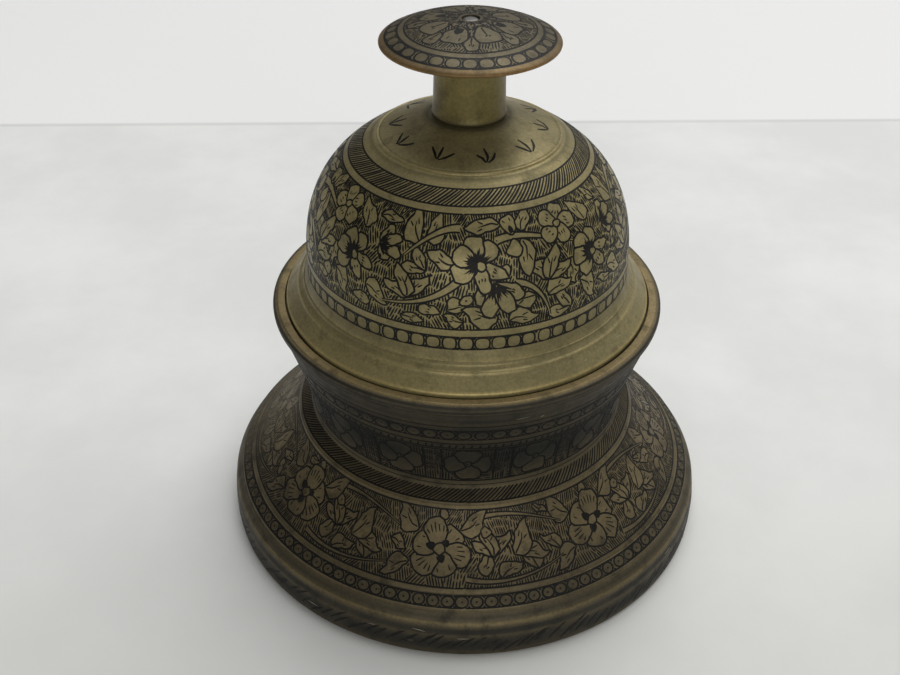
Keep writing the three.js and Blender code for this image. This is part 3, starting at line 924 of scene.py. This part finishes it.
def plain_flower(strip, x, y, size, turn):
    """Five open petals with a few ticks round a small heart."""
    strip.circle(x, y, 0.2 * size, 0.44)
    for k in range(5):
        strip.petal(x, y, turn + k * TURN / 5, size * (1.0 + 0.08 * (k % 2)), size * 0.84, 0.46,
                    0.9, "ticks")


def half_flower(strip, x, y, size, angle):
    """A side view of a flower: petals that fan out, the middle one dark at its foot."""
    for lean, length, marks, full in ((0.1, 1.0, "brush", 1.0), (0.72, 0.95, "rib", 0.6),
                                      (-0.6, 1.05, "brush", 0.8), (-1.15, 0.8, "ticks", 0.5)):
        strip.petal(x, y, angle + lean, size * length, size * 0.5, 0.46, full, marks)


def fan(strip, x, y, leans, length, breadth):
    """Leaves that spread from one point, with ticks."""
    for k, lean in enumerate(leans):
        bend = 0.24 if lean < 0 else -0.24
        strip.leaf(x, y, math.radians(lean), length * (1 - 0.08 * k), bend, breadth, 0.48,
                   lobed=k % 2 == 1)


def foot_flower(strip, x, y, size, turn):
    """A wide flower: round heart, dark drops round it, and fringed petals."""
    strip.circle(x, y, 0.19 * size, 0.44)
    for k in range(6):
        marks = "drop" if k % 2 else "fringe"
        length = size * (0.92 if k % 2 else 1.06)
        strip.petal(x, y, turn + k * TURN / 6, length, size * 0.84, 0.46, 1.0, marks)


def scatter(strip, rng, tries, sizes, margin=0.4):
    """Leaves and buds wherever there is still room for them, nearly along one another."""
    top = strip.rows * CELL
    for _ in range(tries):
        x = rng.uniform(0, strip.columns * CELL)
        y = rng.uniform(margin, top - margin)
        length = rng.uniform(*sizes)
        angle = rng.uniform(0, TURN)
        bend = rng.uniform(-0.3, 0.3)
        kind = rng.random()
        tip = strip.put([(0, length)], x, y, angle)[0]
        if not margin < tip[1] < top - margin:
            continue
        ghost = strip.put([(0, -0.15 * length), (-0.42 * length, 0.45 * length),
                           (0, 1.15 * length), (0.42 * length, 0.45 * length)], x, y, angle)
        if strip.room(ghost) < 0.96:
            continue
        if kind < 0.07:
            strip.circle(x, y, 0.26 * length, 0.42, 0.2)
        elif kind < 0.3:
            strip.petal(x, y, angle, length, 0.56 * length, 0.44, 0.7, "ticks")
        elif kind < 0.45:
            for lean in (-0.45, 0.45):
                strip.petal(x, y, angle + lean, length * 0.95, 0.46 * length, 0.44, 0.6, "rib")
        else:
            strip.leaf(x, y, angle, length, bend, lobed=kind > 0.7)


def upright(x, y, rng):
    """Hatch direction: mostly across the band, with slanting patches."""
    return math.radians(90 + rng.choice((-34, -24, -14, -6, 2, 8, 16, 26)))


def engrave_dome():
    band = Band(between(DOME, 80.5, 104.4))
    rng = random.Random(11)
    deg = math.radians
    y = 15.7
    for k in range(4):
        x = 2.4 + k * band.length / 4
        bell_flower(band, x, y, 6.1, rng.uniform(-0.08, 0.08))
        bell_flower(band, x + 28.6, y - 2.8, 5.5, rng.uniform(0.2, 0.6))
        plain_flower(band, x + 21.2, y + 6.2, 4.7, rng.uniform(0, 1))
        band.circle(x + 6.3, y - 1.7, 1.2, 0.44, 0.22)
        band.circle(x - 2.4, y - 8.2, 1.4, 0.44, 0.24)
        half_flower(band, x + 3.8, y - 4.6, 7.6, deg(-158))
        half_flower(band, x + 35.4, y + 1.6, 5.6, deg(-70))
        band.leaf(x - 4.9, y - 0.4, deg(74), 7.2, 0.1, 0.5, 0.5, lobed=False)
        band.leaf(x + 6.0, y + 8.4, deg(90), 8.2, -0.06, 0.42, 0.48, lobed=False)
        band.petal(x + 9.0, y + 6.0, deg(18), 4.4, 3.8, 0.46, 1.0, "drop")
        band.leaf(x + 11.0, y + 6.3, deg(-18), 5.8, 0.16, 0.56, 0.46, lobed=False)
        band.petal(x + 9.2, y + 5.0, deg(170), 4.0, 3.4, 0.46, 0.9, "none")
        band.leaf(x + 10.9, y + 5.0, deg(-170), 8.8, 0.1, 0.44, 0.48, lobed=False)
        for path, breadth in (
                (((4.6, 5.0), (10, 6.8), (17, 4.6), (25, 1.0)), 1.9),
                (((-4.2, -3.8), (-9, -8.5), (-14, -10.2), (-21, -11)), 1.9),
                (((8.4, -4.6), (12.5, -5.2), (15, -9), (16, -14)), 1.7),
                (((-4.2, 7.8), (-9, 8.2), (-14, 4), (-17, 0.5)), 1.9)):
            band.stem(np.array(path) + (x, y), breadth, 0.44)
        fan(band, x + 16.2, y - 5.6, (-10, 26, -52), 8.4, 0.48)
        fan(band, x - 15.0, y - 9.0, (12, -24, 50), 8.2, 0.46)
        for dx, dy, lean, length, bend, breadth, width in (
                (4.4, -12.6, 82, 8.8, 0.08, 0.48, 0.48), (-6.4, -10.8, -66, 6.2, 0.1, 0.5, 0.44),
                (12.6, -8.0, 104, 6.6, 0.1, 0.5, 0.44), (6.6, -13.6, -80, 7.4, 0.12, 0.46, 0.44),
                (15.6, -8.8, -64, 7.0, 0.14, 0.5, 0.44), (-13.8, 3.8, 32, 8.8, 0.28, 0.44, 0.48),
                (-12.4, 4.4, -38, 7.6, -0.25, 0.46, 0.48), (30.2, 3.8, 14, 7.4, -0.2, 0.46, 0.44),
                (24.2, -8.0, -130, 7.4, 0.2, 0.48, 0.44),
                (33.4, -8.6, -105, 7.2, 0.2, 0.48, 0.44), (21.4, -2.4, 200, 6.4, 0.1, 0.5, 0.44)):
            band.leaf(x + dx, y + dy, deg(lean), length, bend, breadth, width)
    scatter(band, rng, 1500, (4.4, 7.6))
    band.hatch(rng, 0.58, 0.44, 3.6, upright)
    band.edges(0.45)
    engrave(band, "dome_flowers", "stand", LACQUER)


def engrave_foot():
    band = Band(between(FOOT_SLOPE, 16.95, 31.1))
    rng = random.Random(23)
    deg = math.radians
    unit = band.length / 8
    for k in range(8):
        x = -6.2 + k * unit + rng.uniform(-0.6, 0.6)
        foot_flower(band, x, 9.3, 7.3, rng.uniform(-0.3, 0.3))
        band.circle(x + 0.6, 17.9, 1.2, 0.42)
        band.circle(x + 11.6, 13.6, 1.3, 0.42, 0.22)
        band.leaf(x + 5.0, 13.8, deg(-62), 8.8, -0.14, 0.44)
        fan(band, x + 13.4, 7.6, (10, -26, 44), 8.0, 0.46)
        band.petal(x + 12.4, 8.6, deg(160), 5.8, 3.6, 0.44, 0.6, "rib")
        band.leaf(x + 18.0, 7.4, deg(-36), 10.0, -0.1, 0.4)
        band.leaf(x + 19.2, 7.6, deg(-88), 8.2, 0.2, 0.44)
        band.stem([(x + 6.6, 2.4), (x + 13, 0.9), (x + 21, 1.4), (x + 30, 4.8)], 1.4, 0.4)
        band.stem([(x + 11, 17.4), (x + 18, 18.6), (x + 25, 16.4), (x + 32, 12.6)], 1.3, 0.4)
        band.leaf(x + 14.6, 2.4, deg(-50), 6.8, 0.2, 0.48)
        band.leaf(x + 23.4, 3.0, deg(24), 6.6, -0.2, 0.48)
        band.leaf(x - 5.6, 13.6, deg(58), 8.6, 0.2, 0.46)
        band.leaf(x - 7.0, 5.4, deg(112), 7.6, -0.2, 0.46)
    scatter(band, rng, 1500, (4.2, 7.6))
    band.hatch(rng, 0.6, 0.35, 4.0, upright)
    band.edges(0.45)
    engrave(band, "foot_flowers", "stand", DULL_LACQUER)


def engrave_neck():
    """Four-petalled rosettes between hatched panels, under a row of short strokes."""
    band = Band(between(NECK, 36.8, 51.6))
    rng = random.Random(31)
    unit = band.length / 16
    low, high = 0.5, 12.4
    middle = (low + high) / 2
    for k in range(16):
        x = 1.0 + k * unit
        band.circle(x, middle, 0.9, 0.42, 0.25)
        for turn in range(4):
            band.petal(x, middle, turn * TURN / 4, 5.7, 6.6, 0.5, 1.0, "none")
        for side in (-1, 1):
            edge = x + side * 6.3
            band.stroke([(edge, low), (edge, high)], 0.5)
    for y in (high, high + 0.7):
        band.ring(y, 0.4)
    for k in range(150):
        x = (k + rng.uniform(-0.15, 0.15)) * band.length / 150
        band.stroke([(x, high + 1.0), (x + 0.3, high + 2.0)], 0.5, clip=False)
    row = int(high / CELL)
    band.taken[row:, :] = True

    def panels(x, y, rng):
        return math.radians(rng.choice((88, 92, 2, 45)))

    band.hatch(rng, 0.62, 0.36, 3.4, panels)
    band.edges(0.45)
    engrave(band, "neck_rosettes", "stand", FAINT_LACQUER)


def engrave_rows():
    rng = random.Random(5)
    row = Band([(40.38, 75.1), (40.2, 78.9)])
    row.beads(rng, 69, 0.66, 0.42, 0.4)
    row.edges(0.4)
    engrave(row, "dome_beads", "stand", LACQUER)
    row = Band(between(DOME, 105.3, 107.95))
    row.slanted_lines(rng, 176, 0.46, 0.95)
    row.edges(0.42)
    engrave(row, "dome_hatched_ring", "stand", LACQUER)
    row = Band([(62.2, 13.9), (59.7, 16.1)])
    row.beads(rng, 108, 0.95, 0.5, 0.45, 0.24, 0.28)
    row.edges(0.4)
    engrave(row, "foot_beads", "stand", DULL_LACQUER)
    row = Band([(44.8, 32.37), (41.95, 34.37), (41.73, 34.7), (41.7, 35.6)])
    row.slanted_lines(rng, 250, 0.36, 1.15)
    row.edges(0.4)
    engrave(row, "foot_hatched_ring", "stand", DULL_LACQUER)
    row = Band(between(NECK, 53.0, 57.0))
    row.beads(rng, 72, 0.95, 0.48, 0.45, 0.2, 0.4)
    row.edges(0.36)
    engrave(row, "neck_beads", "stand", FAINT_LACQUER)
    row = Band(between(NECK, 58.0, 59.0))
    row.ring(0.5, 0.32)
    engrave(row, "neck_line", "stand", FAINT_LACQUER)


def engrave_skirt():
    band = Band([(65.0, 1.2), (65.0, 6.5), (64.6, 9.2)])
    rng = random.Random(8)
    count = 150
    for k in range(count):
        x = (k + rng.uniform(-0.3, 0.3)) * band.length / count
        low = rng.uniform(0.3, 2.4)
        high = low + rng.uniform(3.0, 4.4)
        slip = (high - low) * rng.uniform(0.95, 1.3)
        path = bezier((x, low), (x + slip * 0.3, low + (high - low) * 0.4),
                      (x + slip * 0.7, low + (high - low) * 0.75), (x + slip, high), 10)
        band.stroke(path, rng.uniform(0.55, 0.95), 0.4, 0.15, clip=False)
    engrave(band, "skirt_strokes", "stand", DULL_LACQUER)


def engrave_plateau():
    """Marks like a bird's foot round the post, pointing out."""
    band = Band([(20.4, 110.44), (10.2, 114.24)])
    rng = random.Random(3)
    count = 10
    for k in range(count):
        x = (k + 0.39 + rng.uniform(-0.05, 0.05)) * band.length / count
        y = 1.3 + rng.uniform(-0.2, 0.2)
        for lean, reach in ((0.72, 4.2), (0.05, 4.4), (-0.85, 4.8)):
            reach *= rng.uniform(0.85, 1.08)
            lean += rng.uniform(-0.1, 0.1)
            path = band.put([(0, 0.35), (0.05 * reach, 0.5 * reach), (0, reach)], x, y, lean)
            band.stroke(path, 0.58, 0.5, 0.6, clip=False)
    engrave(band, "crown_marks", "stand", LACQUER)


def scratch():
    """Small bare nicks and scratches on the neck, the skirt and the dome's flange."""
    rng = random.Random(41)
    for name, outline, slot, count in (
            ("neck_scratches", between(NECK, 52, 62), "base_brass", 16),
            ("skirt_scratches", [(65.0, 2.0), (65.0, 6.5), (64.6, 9.4)], "base_brass", 14),
            ("flange_scratches", [(45.5, 67.75), (43.2, 70.1)], "dome_brass", 12)):
        band = Band(outline)
        for _ in range(count):
            x, y = rng.uniform(0, band.length), rng.uniform(0.3, band.height - 0.3)
            long, lean = rng.uniform(0.8, 3.6), rng.uniform(-0.5, 0.5)
            path = [(x, y), (x + long * 0.5, y + lean * 0.3), (x + long, y + lean)]
            band.stroke(path, rng.uniform(0.1, 0.24), 0.3, 0.2, clip=False)
        engrave(band, name, "stand", BARE_BRASS)


def engrave_knob():
    disc = Disc(np.vstack([[(0, 137.2)], KNOB[::-1]]))
    rng = random.Random(17)
    disc.taken[disc.from_middle > 14.8] = True
    disc.taken[disc.from_middle < 2.6] = True
    for k in range(8):
        angle = math.pi + 0.42 + k * TURN / 8
        near, marks = (5.2, "drop") if k % 2 else (5.0, "rib")
        x, y = -math.sin(angle) * near, math.cos(angle) * near
        disc.petal(x, y, angle, 6.8, 6.2, 0.46, 1.0, marks)
        angle += TURN / 16
        x, y = -math.sin(angle) * 2.7, math.cos(angle) * 2.7
        disc.petal(x, y, angle, 3.2, 1.7, 0.42, 0.5, "drop")
        disc.petal(x * 3.4, y * 3.4, angle, 5.0, 3.6, 0.42, 0.9, "rib")

    def radial(x, y, rng):
        return math.atan2(y, x) + rng.choice((-0.6, -0.3, 0, 0.3, 0.6))

    disc.hatch(rng, 0.6, 0.34, 3.4, radial)
    disc.ring(14.9, 0.42)
    engrave(disc, "knob_rosette", "rotor", DULL_LACQUER)
    row = Band(KNOB[(KNOB[:, 0] > 15.9) & (KNOB[:, 0] < 19.65)])
    row.beads(rng, 30, 0.76, 0.44, 0.36, 0.0, 0.3)
    row.edges(0.42)
    engrave(row, "knob_beads", "rotor", LACQUER)


engrave_dome()
engrave_foot()
engrave_neck()
engrave_rows()
engrave_skirt()
engrave_plateau()
engrave_knob()
scratch()


# ---------------------------------------------------------------- floor and light

def add_floor():
    count = 24
    spots = np.linspace(-FLOOR_HALF, FLOOR_HALF, count + 1)
    gx, gy = np.meshgrid(spots, spots)
    verts = np.stack([gx.ravel(), gy.ravel(), np.full(gx.size, -0.0001)], axis=1)
    index = np.arange(gx.size).reshape(count + 1, count + 1)
    faces = np.stack([index[:-1, :-1], index[:-1, 1:], index[1:, 1:], index[1:, :-1]],
                     axis=2).reshape(-1, 4)
    mesh = bpy.data.meshes.new("tabletop")
    mesh.from_pydata(verts.tolist(), [], faces.tolist())
    mesh.materials.append(floor_material())
    add_object("tabletop", mesh)


def add_world():
    """A pale room: bright above and behind, darker on the camera's side and to the left."""
    world = bpy.data.worlds.new("room")
    scene.world = world
    world.use_nodes = True
    tree = world.node_tree
    way = node(tree, "ShaderNodeTexCoord").outputs["Generated"]
    parts = node(tree, "ShaderNodeSeparateXYZ", {0: way})
    height = remap(tree, parts.outputs["Z"], 0.0, 0.4, 0.2, 1.0)
    depth = remap(tree, parts.outputs["Y"], -0.7, 0.8, 0.25, 1.1)
    side = remap(tree, parts.outputs["X"], -0.8, 0.8, 0.22, 1.35)
    level = math_node(tree, "MULTIPLY", math_node(tree, "MULTIPLY", height, depth), side)
    background = tree.nodes["Background"]
    background.inputs["Color"].default_value = (1.0, 0.995, 0.98, 1)
    tree.links.new(math_node(tree, "MULTIPLY", level, 0.6), background.inputs["Strength"])


add_floor()
add_world()
add_light("ceiling", (0.3, 0.7, 1.9), (0, 0.1, 0), (1.7, 1.7), 25, (1, 0.995, 0.98))
add_light("window", (0.1, -1.5, 0.5), (0, 0, 0.08), (1.5, 0.8), 8.0, (1, 0.99, 0.97))
scene.view_settings.view_transform = "Standard"
